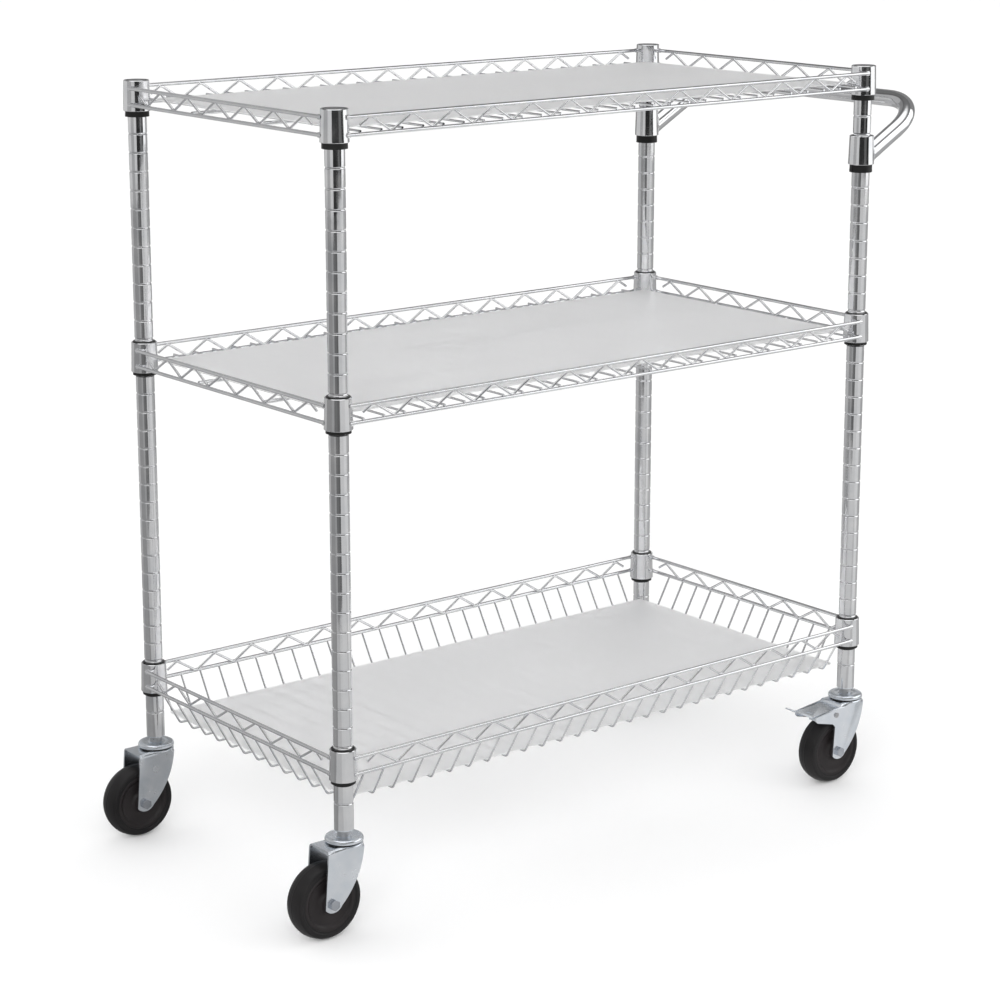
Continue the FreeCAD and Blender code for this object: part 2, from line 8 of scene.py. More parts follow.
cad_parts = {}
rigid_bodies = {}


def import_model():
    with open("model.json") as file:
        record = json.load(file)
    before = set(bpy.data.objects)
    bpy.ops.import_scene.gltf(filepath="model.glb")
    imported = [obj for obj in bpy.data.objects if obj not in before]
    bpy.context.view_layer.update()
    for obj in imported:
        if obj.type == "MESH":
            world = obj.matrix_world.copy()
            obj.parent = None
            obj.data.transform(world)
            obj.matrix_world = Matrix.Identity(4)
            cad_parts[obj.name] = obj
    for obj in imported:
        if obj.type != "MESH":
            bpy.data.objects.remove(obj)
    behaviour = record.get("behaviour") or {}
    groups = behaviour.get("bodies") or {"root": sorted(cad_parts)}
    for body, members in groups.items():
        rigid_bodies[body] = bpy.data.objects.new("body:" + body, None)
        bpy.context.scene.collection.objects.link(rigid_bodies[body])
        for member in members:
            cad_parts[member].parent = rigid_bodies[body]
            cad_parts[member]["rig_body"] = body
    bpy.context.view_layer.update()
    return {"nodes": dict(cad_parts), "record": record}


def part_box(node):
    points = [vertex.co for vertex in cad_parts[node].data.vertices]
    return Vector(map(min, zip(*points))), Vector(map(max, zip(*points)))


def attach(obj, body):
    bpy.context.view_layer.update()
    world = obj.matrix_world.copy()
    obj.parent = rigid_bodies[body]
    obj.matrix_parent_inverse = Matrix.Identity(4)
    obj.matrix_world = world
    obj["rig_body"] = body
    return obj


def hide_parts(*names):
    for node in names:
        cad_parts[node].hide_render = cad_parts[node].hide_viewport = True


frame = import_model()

NODES = frame["nodes"]
TURN = 2 * math.pi

# Camera, on the reference view
CAMERA_PLACE = (-2.338, -2.859, 1.401)
CAMERA_YAW = 38.69
CAMERA_PITCH = -12.74
LENS_MM = 95.9
SENSOR_MM = 36.0
SHIFT_DOWN = 0.08

# Materials: every one is built from nodes on the shader's own sockets


def new_material(name, **sockets):
    """Principled material with the given constant sockets, and its node tree's parts."""
    material = bpy.data.materials.new(name)
    material.use_nodes = True
    tree = material.node_tree
    shader = tree.nodes["Principled BSDF"]
    for socket, value in sockets.items():
        shader.inputs[socket.replace("_", " ")].default_value = value
    return material, tree, shader


def noise(tree, scale, detail=3.0, stretch=(1.0, 1.0, 1.0)):
    """Noise in the object's own coordinates, in metres, stretched along an axis if asked."""
    place = tree.nodes.new("ShaderNodeTexCoord")
    mapping = tree.nodes.new("ShaderNodeMapping")
    mapping.inputs["Scale"].default_value = stretch
    texture = tree.nodes.new("ShaderNodeTexNoise")
    texture.inputs["Scale"].default_value = scale
    texture.inputs["Detail"].default_value = detail
    tree.links.new(place.outputs["Object"], mapping.inputs["Vector"])
    tree.links.new(mapping.outputs["Vector"], texture.inputs["Vector"])
    return texture.outputs["Fac"]


def ramp(tree, value, stops):
    """Colour ramp through (position, colour) stops; a plain number is a grey."""
    node = tree.nodes.new("ShaderNodeValToRGB")
    elements = node.color_ramp.elements
    while len(elements) < len(stops):
        elements.new(0.5)
    for element, (position, colour) in zip(elements, stops):
        element.position = position
        element.color = (*colour, 1) if isinstance(colour, tuple) else (colour, colour, colour, 1)
    tree.links.new(value, node.inputs["Fac"])
    return node.outputs["Color"]


def bump(tree, shader, height, strength, distance):
    node = tree.nodes.new("ShaderNodeBump")
    node.inputs["Strength"].default_value = strength
    node.inputs["Distance"].default_value = distance
    tree.links.new(height, node.inputs["Height"])
    tree.links.new(node.outputs["Normal"], shader.inputs["Normal"])


def chrome_material():
    """Bright plate: nearly a mirror, with faint waves of the plating and hazy patches."""
    material, tree, shader = new_material("chrome", Metallic=1.0)
    waves = noise(tree, 70, 2.0, (1.0, 1.0, 0.35))
    haze = noise(tree, 35, 4.0)
    tree.links.new(ramp(tree, haze, [(0.3, (0.78, 0.79, 0.81)), (0.7, (0.88, 0.88, 0.89))]),
                   shader.inputs["Base Color"])
    tree.links.new(ramp(tree, haze, [(0.35, 0.06), (0.7, 0.12)]), shader.inputs["Roughness"])
    bump(tree, shader, waves, strength=0.3, distance=0.0005)
    return material


def zinc_material(name, dark, light):
    """Bluish zinc plate on pressed or headed steel, with a fine mottle."""
    material, tree, shader = new_material(name, Metallic=1.0)
    mottle = noise(tree, 55, 4.0)
    tree.links.new(ramp(tree, mottle, [(0.3, dark), (0.7, light)]), shader.inputs["Base Color"])
    tree.links.new(ramp(tree, mottle, [(0.3, 0.2), (0.7, 0.28)]), shader.inputs["Roughness"])
    bump(tree, shader, noise(tree, 260, 2.0), strength=0.12, distance=0.0001)
    return material


def steel_material():
    """Turned steel: fine rings of tool marks."""
    material, tree, shader = new_material("turned_steel", Metallic=1.0)
    marks = noise(tree, 900, 2.0, (0.15, 1.0, 1.0))
    tree.links.new(ramp(tree, marks, [(0.3, (0.42, 0.43, 0.44)), (0.7, (0.48, 0.48, 0.49))]),
                   shader.inputs["Base Color"])
    tree.links.new(ramp(tree, marks, [(0.3, 0.25), (0.7, 0.4)]), shader.inputs["Roughness"])
    bump(tree, shader, marks, strength=0.02, distance=0.0001)
    return material


ROUGH_DRIFT = 0.12


def moulded_material(name, dark, light, rough, grain):
    """Moulded plastic or rubber with a fine grain, and colour and roughness that drift slowly."""
    material, tree, shader = new_material(name, Specular_IOR_Level=0.3)
    drift = noise(tree, 28, 4.0)
    tree.links.new(ramp(tree, drift, [(0.3, dark), (0.7, light)]), shader.inputs["Base Color"])
    roughness = ramp(tree, drift, [(0.3, rough), (0.7, rough + ROUGH_DRIFT)])
    tree.links.new(roughness, shader.inputs["Roughness"])
    bump(tree, shader, noise(tree, grain, 3.0), strength=0.25, distance=0.0003)
    return material


def liner_material():
    """Frosted translucent sheet: milky, with a fine stipple on its faces."""
    material, tree, shader = new_material(
        "liner", Transmission_Weight=0.6, IOR=1.45, Specular_IOR_Level=0.35)
    cloud = noise(tree, 6, 3.0)
    tree.links.new(ramp(tree, cloud, [(0.3, (0.92, 0.92, 0.925)), (0.7, (0.95, 0.95, 0.955))]),
                   shader.inputs["Base Color"])
    stipple = noise(tree, 1500, 2.0)
    tree.links.new(ramp(tree, stipple, [(0.3, 0.3), (0.7, 0.4)]), shader.inputs["Roughness"])
    bump(tree, shader, stipple, strength=0.08, distance=0.0001)
    return material


BLACK_PLASTIC = ((0.004, 0.004, 0.004), (0.008, 0.008, 0.008))
CAP_PLASTIC = ((0.10, 0.10, 0.105), (0.14, 0.14, 0.145))
TYRE_RUBBER = ((0.005, 0.0045, 0.005), (0.009, 0.008, 0.0085))
WHEEL_PLASTIC = ((0.010, 0.008, 0.0085), (0.016, 0.013, 0.0135))
# Very dark brown of greased races and balls, also painted as the shade in the gap under the swivel caps
GREASED_SHADE_BROWN = ((0.012, 0.011, 0.010), (0.02, 0.018, 0.016))
BRIGHT_ZINC = ((0.78, 0.83, 0.89), (0.86, 0.89, 0.93))
DULL_ZINC = ((0.42, 0.45, 0.49), (0.54, 0.56, 0.60))
MATERIALS = {
    "chrome_plate": chrome_material(),
    "zinc_plate": zinc_material("zinc", *BRIGHT_ZINC),
    "bearing_steel": steel_material(),
    "black_plastic": moulded_material("black_plastic", *BLACK_PLASTIC, rough=0.35, grain=900),
    "post_cap_plastic": moulded_material("cap_plastic", *CAP_PLASTIC, rough=0.45, grain=900),
    "tyre_rubber": moulded_material("tyre_rubber", *TYRE_RUBBER, rough=0.4, grain=1300),
    "wheel_plastic": moulded_material("wheel_plastic", *WHEEL_PLASTIC, rough=0.38, grain=900),
    "frosted_plastic": liner_material(),
}
POST_NAMES = ("front_left", "front_right", "rear_left", "rear_right")
HANDLE_POSTS = ("front_right", "rear_right")
SHELF_NAMES = ("top_shelf", "middle_shelf", "basket")
CORE_R = 0.0385                # of a wheel, where the tyre begins
RIM_INSET = 0.0015             # of the wheel's rim and the tyre's inner edge, from the tyre's sides
SHARP = 40                     # degrees, above which an edge is shaded sharp
MERGE = 0.000001
CAP_FLANGE = 0.0015            # of the socket, under the foot of each post
BOLT_ZINC = zinc_material("bolt_zinc", *DULL_ZINC)
# Painted shade: greased brown for the races and balls in the shaded gap under the swivel caps
GREASED_SHADE = moulded_material("grease", *GREASED_SHADE_BROWN, rough=0.3, grain=400)
NODE_SLOTS = {row["node"]: row["material_slot"] for row in frame["record"]["subparts"]}


def paint(thing, slot_name):
    thing.data.materials.clear()
    thing.data.materials.append(MATERIALS[slot_name])
    return thing


def paint_frame():
    for name, node in NODES.items():
        paint(node, NODE_SLOTS[name])
    # The swivel balls get the painted shade colour of the gap under the caps
    NODES["swivel_balls"].data.materials[0] = GREASED_SHADE


# Pieces that stand for CAD nodes, with the rounded edges and small shapes of the real ones. Metres.


def piece_from(bm, name, slot_name, body, sharp=None):
    """Object from a bmesh, smooth-shaded, with its finish, riding on a body."""
    bmesh.ops.recalc_face_normals(bm, faces=bm.faces)
    mesh = bpy.data.meshes.new(name)
    bm.to_mesh(mesh)
    bm.free()
    mesh.shade_smooth()
    if sharp is not None:
        mesh.set_sharp_from_angle(angle=math.radians(sharp))
    piece = bpy.data.objects.new(name, mesh)
    bpy.context.scene.collection.objects.link(piece)
    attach(piece, body)
    return paint(piece, slot_name)


def stands_for(bm, name, node, sharp=None):
    """Piece that takes a CAD node's place, body and finish."""
    piece = piece_from(bm, name, NODE_SLOTS[node], NODES[node]["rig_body"], sharp)
    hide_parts(node)
    return piece


def rounded_outline(corners, steps=4):
    """Closed outline from (u, v, rounding) corners: each is cut back by its rounding and curved."""
    outline = []
    for number, (u, v, rounding) in enumerate(corners):
        corner = Vector((u, v))
        ends = []
        for other in (corners[number - 1], corners[(number + 1) % len(corners)]):
            ends.append(corner + (Vector(other[:2]) - corner).normalized() * rounding)
        if rounding == 0:
            outline.append(corner)
            continue
        for step in range(steps + 1):
            t = step / steps
            outline.append(ends[0] * (1 - t) ** 2 + corner * 2 * t * (1 - t) + ends[1] * t ** 2)
    return outline


def lathe(outline, centre, steps, upright=False, bm=None):
    """Turn a closed outline of (radius, offset) about the Y axis, or the Z axis, through a place."""
    bm = bmesh.new() if bm is None else bm
    rings = []
    for k in range(steps):
        angle = TURN * k / steps
        across, up = math.cos(angle), math.sin(angle)
        if upright:
            ring = [(r * across, r * up, offset) for r, offset in outline]
        else:
            ring = [(r * across, offset, r * up) for r, offset in outline]
        rings.append([bm.verts.new(centre + Vector(place)) for place in ring])
    for k, ring in enumerate(rings):
        after = rings[(k + 1) % steps]
        for j in range(len(outline)):
            m = (j + 1) % len(outline)
            bm.faces.new((ring[j], ring[m], after[m], after[j]))
    return bm


def middle(node):
    low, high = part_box(node)
    return (low + high) / 2


def half_size(node):
    low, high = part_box(node)
    return (high - low) / 2


# Wheels

TYRE_CROWN_DROP = 0.0045       # from the middle of the tread to its shoulder
TYRE_SHOULDER_ROUND = 0.004
RIDGE = 0.0002                 # mould parting line round the middle of the tread
RIDGE_HALF_W = 0.0006
CROWN_STEPS = 9
BEAD_R = 0.0415                # where the sidewall steps down to the core
BEAD_STEP = 0.0008
WHEEL_STEPS = 112


def tyre_outline(radius, half_width, inner_radius, inner_half):
    """Crowned tread with its parting ridge, rounded shoulders, and a stepped sidewall."""
    crown_radius = (half_width ** 2 + TYRE_CROWN_DROP ** 2) / (2 * TYRE_CROWN_DROP)
    top = radius - crown_radius
    edge = half_width - TYRE_SHOULDER_ROUND / 2
    offsets = [edge * step / CROWN_STEPS for step in range(CROWN_STEPS, 0, -1)]
    crown = [(top + math.sqrt(crown_radius ** 2 - y * y) - RIDGE, y, 0) for y in offsets]
    crown.append((radius - RIDGE, RIDGE_HALF_W, 0))
    crown.append((radius, RIDGE_HALF_W / 2, 0))
    shoulder = radius - TYRE_CROWN_DROP
    side = [(inner_radius, inner_half, 0), (BEAD_R - BEAD_STEP, inner_half, BEAD_STEP / 2),
            (BEAD_R, half_width - BEAD_STEP / 2, BEAD_STEP),
            (shoulder, half_width, TYRE_SHOULDER_ROUND)]
    half = side + crown
    return rounded_outline(half + [(r, -y, rounding) for r, y, rounding in reversed(half)])


CORE_HUB_R = 0.012
CORE_HUB_ROUND = 0.001
CORE_HUB_STEP = 0.001
CORE_EDGE_ROUND = 0.0004
CORE_WEB_R = (0.0165, 0.0315)
CORE_WEB_DEPTH = 0.0032
CORE_RIM_R = 0.0345
CORE_ROUND = 0.0016
BORE_R = 0.00626


def core_outline(radius, hub_half, rim_half):
    """Hub, recessed web and raised rim, with moulded roundings."""
    web_half = rim_half - CORE_WEB_DEPTH
    half = [(BORE_R, hub_half, 0), (CORE_HUB_R, hub_half, CORE_HUB_ROUND),
            (CORE_HUB_R + CORE_HUB_STEP, rim_half, CORE_ROUND / 2),
            (CORE_WEB_R[0], web_half, CORE_ROUND), (CORE_WEB_R[1], web_half, CORE_ROUND),
            (CORE_RIM_R, rim_half, CORE_ROUND), (radius, rim_half, CORE_EDGE_ROUND)]
    return rounded_outline(half + [(r, -y, rounding) for r, y, rounding in reversed(half)])


def wheels():
    for post in POST_NAMES:
        tyre_node, core_node = post + "_tyre", post + "_wheel_core"
        tyre, core = half_size(tyre_node), half_size(core_node)
        rim_half = tyre.y - RIM_INSET
        outline = tyre_outline(min(tyre.x, tyre.z), tyre.y, CORE_R, rim_half)
        turned = lathe(outline, middle(tyre_node), WHEEL_STEPS)
        stands_for(turned, post + "_tyre_tread", tyre_node, SHARP)
        turned = lathe(core_outline(CORE_R, core.y, rim_half), middle(core_node), WHEEL_STEPS)
        stands_for(turned, post + "_wheel_centre", core_node, SHARP)


# Swivels

CAP_RIM = 0.0046               # rounding of the swivel cap's rim
CAP_SKIRT_T = 0.002
CAP_LIFT = 0.0008              # the skirt stops this far above its envelope's foot
CAP_BORE_R = 0.00503
CAP_CEILING = 0.0018           # under the cap's top
CAP_SHOULDER = 0.0051          # the skirt's inside begins this far under the cap's top
CAP_EDGE_ROUND = 0.0003
CAP_GROOVE_EDGE = 0.0006       # rounding of the groove's inner corners
CAP_GROOVE_SWEEP = 0.001       # and of its outer ones
CAP_GROOVE_R = (0.0098, 0.0112, 0.0138, 0.0158)
CAP_GROOVE_DEPTH = 0.0007
CAP_ROUND_STEPS = 6
CAP_STEPS = 96
RACE_REACH = 0.0222            # the race painted greased brown as the shade under the cap lies within this distance of the swivel axis
SWIVEL_TO_FORK_TOP = 0.0161    # from under that flange down to the fork's top plate


def cap_outline(radius, height):
    """Ring groove round the neck, rounded rim, and a skirt over the balls; offsets are from the top."""
    inner, foot = radius - CAP_SKIRT_T, CAP_LIFT - height
    groove = zip(CAP_GROOVE_R, (0, -CAP_GROOVE_DEPTH, -CAP_GROOVE_DEPTH, 0),
                 (CAP_GROOVE_EDGE, CAP_GROOVE_EDGE, CAP_GROOVE_SWEEP, CAP_GROOVE_SWEEP))
    corners = [(CAP_BORE_R, 0, 0), *groove, (radius, 0, CAP_RIM), (radius, foot, CAP_EDGE_ROUND),
               (inner, foot, CAP_EDGE_ROUND), (inner, -CAP_SHOULDER, 0),
               (inner - CAP_SKIRT_T, -CAP_CEILING, 0), (CAP_BORE_R, -CAP_CEILING, 0)]
    return rounded_outline(corners, CAP_ROUND_STEPS)


def swivel_caps():
    low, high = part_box("swivel_caps")
    radius = half_size("swivel_caps").y - middle("rear_right_post").y
    bm = bmesh.new()
    for post in POST_NAMES:
        place = middle(post + "_post")
        place.z = high.z
        lathe(cap_outline(radius, high.z - low.z), place, CAP_STEPS, upright=True, bm=bm)
    stands_for(bm, "swivel_cap_domes", "swivel_caps", SHARP)


def grease_races(piece, post):
    """Painted shade in greased brown on the faces of the race, inside the rim of the cap, where the cap
    shades them.
    """
    axis = middle(post + "_post")
    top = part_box(post + "_post")[0].z - CAP_FLANGE - SWIVEL_TO_FORK_TOP
    piece.data.materials.append(GREASED_SHADE)
    for face in piece.data.polygons:
        reach = face.center - axis
        if face.center.z > top + MERGE and math.hypot(reach.x, reach.y) < RACE_REACH:
            face.material_index = 1


# Liners

LINER_CORNER_R = 0.006
LINER_EDGE_R = 0.0004
CORNER_STEPS = 8


def liner_ring(half, inset, height, centre):
    """Rounded rectangle at a height, drawn in from the sheet's edge."""
    ring = []
    radius = LINER_CORNER_R - inset
    for quarter in range(4):
        turn = TURN * quarter / 4
        sign_x = 1 if quarter in (0, 3) else -1
        sign_y = 1 if quarter in (0, 1) else -1
        corner = (sign_x * (half.x - LINER_CORNER_R), sign_y * (half.y - LINER_CORNER_R))
        for step in range(CORNER_STEPS + 1):
            angle = turn + TURN / 4 * step / CORNER_STEPS
            ring.append((centre.x + corner[0] + radius * math.cos(angle),
                         centre.y + corner[1] + radius * math.sin(angle), height))
    return ring


def liners():
    """Sheets with rounded corners and edges."""
    for shelf in SHELF_NAMES:
        node = shelf + "_liner"
        centre, half = middle(node), half_size(node)
        bm = bmesh.new()
        rings = []
        side = half.z - LINER_EDGE_R
        for inset, up in ((LINER_EDGE_R, -half.z), (0, -side), (0, side), (LINER_EDGE_R, half.z)):
            places = liner_ring(half, inset, centre.z + up, centre)
            rings.append([bm.verts.new(place) for place in places])
        for lower, upper in zip(rings, rings[1:]):
            for k in range(len(lower)):
                m = (k + 1) % len(lower)
                bm.faces.new((lower[k], lower[m], upper[m], upper[k]))
        bm.faces.new(reversed(rings[0]))
        bm.faces.new(rings[-1])
        stands_for(bm, shelf + "_liner_sheet", node, SHARP)


# Welds

TRUSS_START = 0.0294           # as the CAD lays them out, along each side from its post
LONG_HALF_WAVES = 27
SHORT_HALF_WAVES = 12
UPPER_WELD = (0.0136, 0.0113)  # outside the line of the posts, and below the collar top
LOWER_WELD = (0.0136, 0.0311)
WIRE_WELD = (0.016, 0.0294)
DECK_FIRST = 0.026
BASKET_FIRST = 0.022
BASKET_PITCH = 0.03165
BASKET_SHORT_PITCH = 0.0324
BASKET_SHORT_WIRES = 12
BASKET_WELD = (0.0146, 0.0338)
COLLAR_BEAD_ALONG = 0.0085
COLLAR_BEAD_OUT = 0.0166
RAIL_DROPS = (0.010, 0.032)
RAIL_R = 0.0025
WELD_SPREAD = 0.16             # of the welds' sizes, either way
MILLIMETRES = 1000             # in a metre
WELD_BEAT = 2.4                # radians of the wave that picks them, from one weld to the next
NUGGET = (0.0026, 0.0011, 0.0013)
WIRE_NUGGET = (0.0020, 0.0012, 0.0005)
COLLAR_BEAD = (0.0036, 0.0009, 0.0008)


def sides():
    """Each side of the shelves: its start, direction, outward normal, length and half waves."""
    front_left, rear_right = middle("front_left_post"), middle("rear_right_post")
    span = rear_right - front_left
    x, y = Vector((1, 0, 0)), Vector((0, 1, 0))
    return ((front_left, x, -y, span.x, LONG_HALF_WAVES),
            (rear_right, -x, y, span.x, LONG_HALF_WAVES),
            (front_left, y, -x, span.y, SHORT_HALF_WAVES),
            (rear_right, -y, x, span.y, SHORT_HALF_WAVES))


def nugget(bm, place, along, outward, radii, grow):
    """Small melted lump, longer along the wire, with its own size."""
    turned = Matrix((along, outward, along.cross(outward))).transposed().to_4x4()
    scaled = Matrix.Diagonal((*[radius * grow for radius in radii], 1))
    bmesh.ops.create_icosphere(bm, subdivisions=2, radius=1,
                               matrix=Matrix.Translation(place) @ turned @ scaled)


def uneven(number):
    """Factor near 1 that differs from one weld to the next."""
    return 1 + WELD_SPREAD * math.sin(number * WELD_BEAT)


def side_place(side, along, out, height):
    start, direction, outward = side[:3]
    place = start + direction * along + outward * out
    return Vector((place.x, place.y, height))


def wire_places(side, shelf):
    """Where crosswise wires or wall wires meet a side's lower rail."""
    length, waves = side[3:]
    long_side = waves == LONG_HALF_WAVES
    if shelf == "basket":
        if long_side:
            places = [BASKET_FIRST + number * BASKET_PITCH for number in range(LONG_HALF_WAVES + 1)]
            return places if side[1].x > 0 else [length - along for along in places]
        first = (length - (BASKET_SHORT_WIRES - 1) * BASKET_SHORT_PITCH) / 2
        return [first + number * BASKET_SHORT_PITCH for number in range(BASKET_SHORT_WIRES)]
    if not long_side:
        return []
    pitch = (length - 2 * TRUSS_START) / waves
    places = [DECK_FIRST + number * pitch for number in range(waves + 1)]
    return places if side[1].x > 0 else [length - along for along in places]


def shelf_welds(shelf):
    """Every spot where a shelf's wires are fused: zig-zag and wires to rails, rails to collars."""
    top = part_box(shelf + "_collars")[1].z
    bm = bmesh.new()
    for side in sides():
        direction, outward, length, waves = side[1:]
        step = (length - 2 * TRUSS_START) / waves
        for wave in range(waves):
            out, drop = LOWER_WELD if wave % 2 else UPPER_WELD
            place = side_place(side, TRUSS_START + (wave + 0.5) * step, out, top - drop)
            nugget(bm, place, direction, outward, NUGGET, uneven(wave))
        out, drop = BASKET_WELD if shelf == "basket" else WIRE_WELD
        for number, along in enumerate(wire_places(side, shelf)):
            place = side_place(side, along, out, top - drop)
            nugget(bm, place, direction, outward, WIRE_NUGGET, uneven(number))
        for drop in RAIL_DROPS:
            for along in (COLLAR_BEAD_ALONG, length - COLLAR_BEAD_ALONG):
                for edge in (-RAIL_R, RAIL_R):
                    place = side_place(side, along, COLLAR_BEAD_OUT, top - drop + edge)
                    nugget(bm, place, direction, outward, COLLAR_BEAD, uneven(along * MILLIMETRES + edge))
    piece_from(bm, shelf + "_welds", "chrome_plate", NODES[shelf + "_collars"]["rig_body"])


# Handle welds

HANDLE_R = 0.012
HANDLE_ROOT_DROP = 0.1348      # below the top of the post caps
STRUT_UP = 0.0743
STRUT_ALONG = 0.132
HANDLE_RISE = math.atan2(STRUT_UP, STRUT_ALONG)
HANDLE_COLLAR_R = 0.0179
BEAD_SECTION_R = 0.0012
BEAD_RIPPLE = 0.0003
BEAD_RIPPLES = 22
BEAD_STEPS = 132
BEAD_SIDES = 8


def strut_seam(root, angle):
    """Point where the strut's surface meets the collar, at an angle round the strut."""
    rise = Vector((math.cos(HANDLE_RISE), 0, math.sin(HANDLE_RISE)))
    over = Vector((-math.sin(HANDLE_RISE), 0, math.cos(HANDLE_RISE)))
    across = HANDLE_R * math.cos(angle)
    up = HANDLE_R * math.sin(angle)
    reach = (math.sqrt(HANDLE_COLLAR_R ** 2 - across ** 2) - up * over.x) / rise.x
    return root + rise * reach + over * up + Vector((0, across, 0))


def handle_welds():
    """Rippled bead round each strut of the push handle, where it meets its collar."""
    bm = bmesh.new()
    for post in HANDLE_POSTS:
        root = middle(post + "_post")
        root.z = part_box("post_caps")[1].z - HANDLE_ROOT_DROP
        seam = [strut_seam(root, TURN * k / BEAD_STEPS) for k in range(BEAD_STEPS)]
        centre = sum(seam, Vector()) / BEAD_STEPS
        rings = []
        for k, place in enumerate(seam):
            ahead = (seam[(k + 1) % BEAD_STEPS] - seam[k - 1]).normalized()
            away = (place - centre).normalized()
            aside = ahead.cross(away)
            ripple = abs(math.sin(math.pi * BEAD_RIPPLES * k / BEAD_STEPS))
            radius = BEAD_SECTION_R + BEAD_RIPPLE * ripple
            rings.append([bm.verts.new(place + radius * (away * math.cos(TURN * j / BEAD_SIDES)
                                                         + aside * math.sin(TURN * j / BEAD_SIDES)))
                          for j in range(BEAD_SIDES)])
        for k, ring in enumerate(rings):
            after = rings[(k + 1) % BEAD_STEPS]
            for j in range(BEAD_SIDES):
                m = (j + 1) % BEAD_SIDES
                bm.faces.new((ring[j], ring[m], after[m], after[j]))
    piece_from(bm, "handle_welds", "chrome_plate", NODES["handle_tube"]["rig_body"])


# Pressed and headed parts: the forks have their races painted greased brown as shade, the others have
# rounded edges

EDGE_ROUND = 0.0004
EDGE_SEGMENTS = 2
EDGE_ANGLE = 32                # degrees, above which an edge is rounded
COPLANAR = math.radians(0.5)   # triangles this nearly level with each other become one face
PRESSED = ("fork", "brake_pedal", "axle_bolt")


def softened(node):
    """A node's own shape in whole faces; all but the forks get small roundings on sharp edges."""
    bm = bmesh.new()
    bm.from_mesh(NODES[node].data)
    bmesh.ops.remove_doubles(bm, verts=bm.verts, dist=MERGE)
    bmesh.ops.dissolve_limit(bm, angle_limit=COPLANAR, verts=bm.verts, edges=bm.edges)
    piece = stands_for(bm, node + "_edged", node, SHARP)
    if node.endswith("_fork"):
        grease_races(piece, node.removesuffix("_fork"))
        return
    if node.endswith("_bolt"):
        piece.data.materials[0] = BOLT_ZINC
    rounding = piece.modifiers.new("rounded_edges", "BEVEL")
    rounding.width = EDGE_ROUND
    rounding.segments = EDGE_SEGMENTS
    rounding.limit_method = "ANGLE"
    rounding.angle_limit = math.radians(EDGE_ANGLE)
    weighting = piece.modifiers.new("flat_faces_flat", "WEIGHTED_NORMAL")
    weighting.keep_sharp = True


def pressed_parts():
    for node in NODES:
        if any(node.endswith("_" + kind) for kind in PRESSED):
            softened(node)


# Setting


FLOOR_HALF = 30.0
FLOOR_DRIFT = 0.005


def stage_material(name, colour, rough):
    material, tree, shader = new_material(name, Roughness=rough)
    stops = [(0.3, colour - FLOOR_DRIFT), (0.7, colour + FLOOR_DRIFT)]
    tint = ramp(tree, noise(tree, 2, 2.0), stops)
    tree.links.new(tint, shader.inputs["Base Color"])
    return material


def grid_object(name, corners, material):
    mesh = bpy.data.meshes.new(name)
    mesh.from_pydata(corners, [], [tuple(range(len(corners)))])
    mesh.materials.append(material)
    thing = bpy.data.objects.new(name, mesh)
    bpy.context.scene.collection.objects.link(thing)
    return thing


def floor():
    half = FLOOR_HALF
    corners = [(-half, -half, 0), (half, -half, 0), (half, half, 0), (-half, half, 0)]
    grid_object("floor", corners, stage_material("floor_paper", 0.94, 0.9))


# What the plating mirrors: a round room that only reflections see. Its bands are fitted to the grey levels
# across the posts in the reference view. They run anticlockwise seen from above, as (start in degrees from
# the camera's side, brightness).
INNER_FLOOR_BANDS = ((0, 0.6), (48, 0.5), (64, 0.7), (95, 0.5), (112, 0.45), (140, 0.5), (232, 0.38),
                     (268, 0.3), (306, 0.27), (318, 0.48), (345, 0.58))
OUTER_FLOOR_BANDS = ((0, 0.13), (9, 0.6), (48, 0.68), (90, 0.43), (125, 0.36), (200, 0.47), (268, 0.28),
                     (315, 0.34), (332, 0.16), (352, 0.13))
LOW_BANDS = ((0, 0.02), (28, 0.12), (50, 0.02), (70, 1.2), (116, 0.32), (150, 0.7), (180, 0.28),
             (223, 0.62), (279, 0.4), (314, 0.62), (341, 0.02))
HIGH_BANDS = ((0, 0.12), (60, 1.4), (125, 0.24), (200, 0.42), (300, 0.26))
ROOM_RADIUS = 3.0
INNER_RADIUS = 1.9
ROOM_HEIGHTS = (0.003, 0.55, 1.0, 3.2)
ROOM_STEPS = 360


def band_brightness(bands, angle):
    return [level for start, level in bands if angle >= start][-1]


def glow_material(name, attribute):
    material = bpy.data.materials.new(name)
    material.use_nodes = True
    tree = material.node_tree
    tree.nodes.clear()
    band = tree.nodes.new("ShaderNodeAttribute")
    band.attribute_name = attribute
    glow = tree.nodes.new("ShaderNodeEmission")
    output = tree.nodes.new("ShaderNodeOutputMaterial")
    tree.links.new(band.outputs["Color"], glow.inputs["Color"])
    tree.links.new(glow.outputs["Emission"], output.inputs["Surface"])
    return material


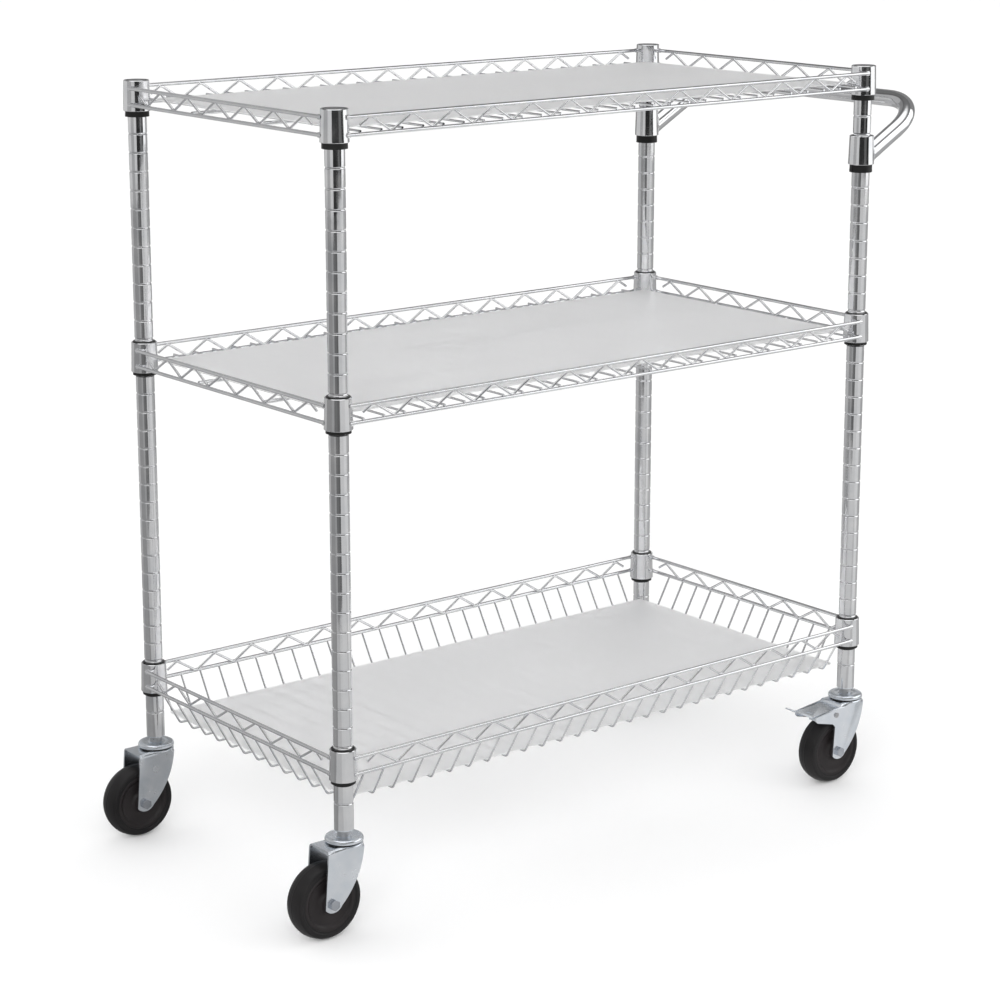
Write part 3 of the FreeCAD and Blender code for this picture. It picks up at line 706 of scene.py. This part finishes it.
def mirrored_room():
    """Inner and outer floor, skirting, low and high wall, painted in bands of brightness by angle."""
    mesh = bpy.data.meshes.new("mirrored_room")
    camera_side = math.radians(-90 - CAMERA_YAW)
    ground, skirting, sill, top = ROOM_HEIGHTS
    rings = ((0.0, ground), (INNER_RADIUS, ground), (ROOM_RADIUS, ground), (ROOM_RADIUS, skirting),
             (ROOM_RADIUS, sill), (ROOM_RADIUS, top))
    vertices = []
    for radius, height in rings:
        for k in range(ROOM_STEPS):
            angle = camera_side + TURN * k / ROOM_STEPS
            vertices.append((radius * math.cos(angle), radius * math.sin(angle), height))
    faces = []
    levels = []
    painted = (INNER_FLOOR_BANDS, OUTER_FLOOR_BANDS, OUTER_FLOOR_BANDS, LOW_BANDS, HIGH_BANDS)
    for ring, bands in enumerate(painted):
        for k in range(ROOM_STEPS):
            here, there = ring * ROOM_STEPS, (ring + 1) * ROOM_STEPS
            after = (k + 1) % ROOM_STEPS
            faces.append((here + k, here + after, there + after, there + k))
            levels.append(band_brightness(bands, 360 * k / ROOM_STEPS))
    mesh.from_pydata(vertices, [], faces)
    colours = mesh.color_attributes.new("band", "FLOAT_COLOR", "CORNER")
    for face, level in zip(mesh.polygons, levels):
        for corner in face.loop_indices:
            colours.data[corner].color = (level, level, level, 1)
    mesh.materials.append(glow_material("mirrored_room", "band"))
    room = bpy.data.objects.new("mirrored_room", mesh)
    bpy.context.scene.collection.objects.link(room)
    room.visible_camera = False
    room.visible_diffuse = False
    room.visible_transmission = False
    room.visible_shadow = False


# Brightness of the surrounding light by height, as (sine of the elevation, brightness)
AMBIENT = ((0.0, 0.95), (0.12, 2.72), (0.45, 2.52), (0.62, 0.55), (1.0, 0.4))
MIRRORED_SKY = ((0.0, 0.14), (0.6, 0.12), (0.8, 0.2), (0.9, 1.3), (1.0, 1.3))


def height_ramp(tree, height, stops):
    """Brightness by height; the ramp holds it scaled down to its own largest value."""
    largest = max(level for _, level in stops)
    colour = ramp(tree, height, [(position, level / largest) for position, level in stops])
    background = tree.nodes.new("ShaderNodeBackground")
    background.inputs["Strength"].default_value = largest
    tree.links.new(colour, background.inputs["Color"])
    return background.outputs["Background"]


def studio_light():
    """Soft light from all round, brighter near the horizon, so that the lower shelves get some.

    The camera sees plain white instead, and reflections see a sky of their own.
    """
    world = bpy.data.worlds.new("studio")
    world.use_nodes = True
    tree = world.node_tree
    tree.nodes.clear()
    direction = tree.nodes.new("ShaderNodeTexCoord")
    split = tree.nodes.new("ShaderNodeSeparateXYZ")
    tree.links.new(direction.outputs["Generated"], split.inputs["Vector"])
    ray = tree.nodes.new("ShaderNodeLightPath")
    white = tree.nodes.new("ShaderNodeBackground")
    white.inputs["Color"].default_value = (1, 1, 1, 1)
    mirrored = tree.nodes.new("ShaderNodeMixShader")
    seen = tree.nodes.new("ShaderNodeMixShader")
    output = tree.nodes.new("ShaderNodeOutputWorld")
    tree.links.new(ray.outputs["Is Glossy Ray"], mirrored.inputs[0])
    tree.links.new(height_ramp(tree, split.outputs["Z"], AMBIENT), mirrored.inputs[1])
    tree.links.new(height_ramp(tree, split.outputs["Z"], MIRRORED_SKY), mirrored.inputs[2])
    tree.links.new(ray.outputs["Is Camera Ray"], seen.inputs[0])
    tree.links.new(mirrored.outputs[0], seen.inputs[1])
    tree.links.new(white.outputs[0], seen.inputs[2])
    tree.links.new(seen.outputs[0], output.inputs["Surface"])
    bpy.context.scene.world = world


KEY_PLACE = (-2.6, -2.6, 2.6)
KEY_TARGET = (0, 0, 0.5)
KEY_SIZE = (2.0, 2.0)
KEY_WATTS = 45


def area_light(name, place, target, size, power):
    data = bpy.data.lights.new(name, "AREA")
    data.shape = "RECTANGLE"
    data.size, data.size_y = size
    data.energy = power
    light = bpy.data.objects.new(name, data)
    light.location = place
    light.rotation_euler = (Vector(target) - Vector(place)).to_track_quat("-Z", "Y").to_euler()
    bpy.context.scene.collection.objects.link(light)


def lights():
    area_light("key_softbox", KEY_PLACE, KEY_TARGET, KEY_SIZE, KEY_WATTS)
    studio_light()
    bpy.context.scene.view_settings.view_transform = "Standard"


def camera():
    data = bpy.data.cameras.new("camera")
    data.lens = LENS_MM
    data.sensor_width = SENSOR_MM
    data.shift_y = -SHIFT_DOWN
    eye = bpy.data.objects.new("camera", data)
    eye.location = CAMERA_PLACE
    eye.rotation_euler = (math.radians(90 + CAMERA_PITCH), 0, math.radians(-CAMERA_YAW))
    bpy.context.scene.collection.objects.link(eye)
    bpy.context.scene.camera = eye


camera()
floor()
mirrored_room()
lights()
paint_frame()
wheels()
swivel_caps()
liners()
for shelf_name in SHELF_NAMES:
    shelf_welds(shelf_name)
handle_welds()
pressed_parts()


def corners(box):
    return [list(corner) for corner in box]
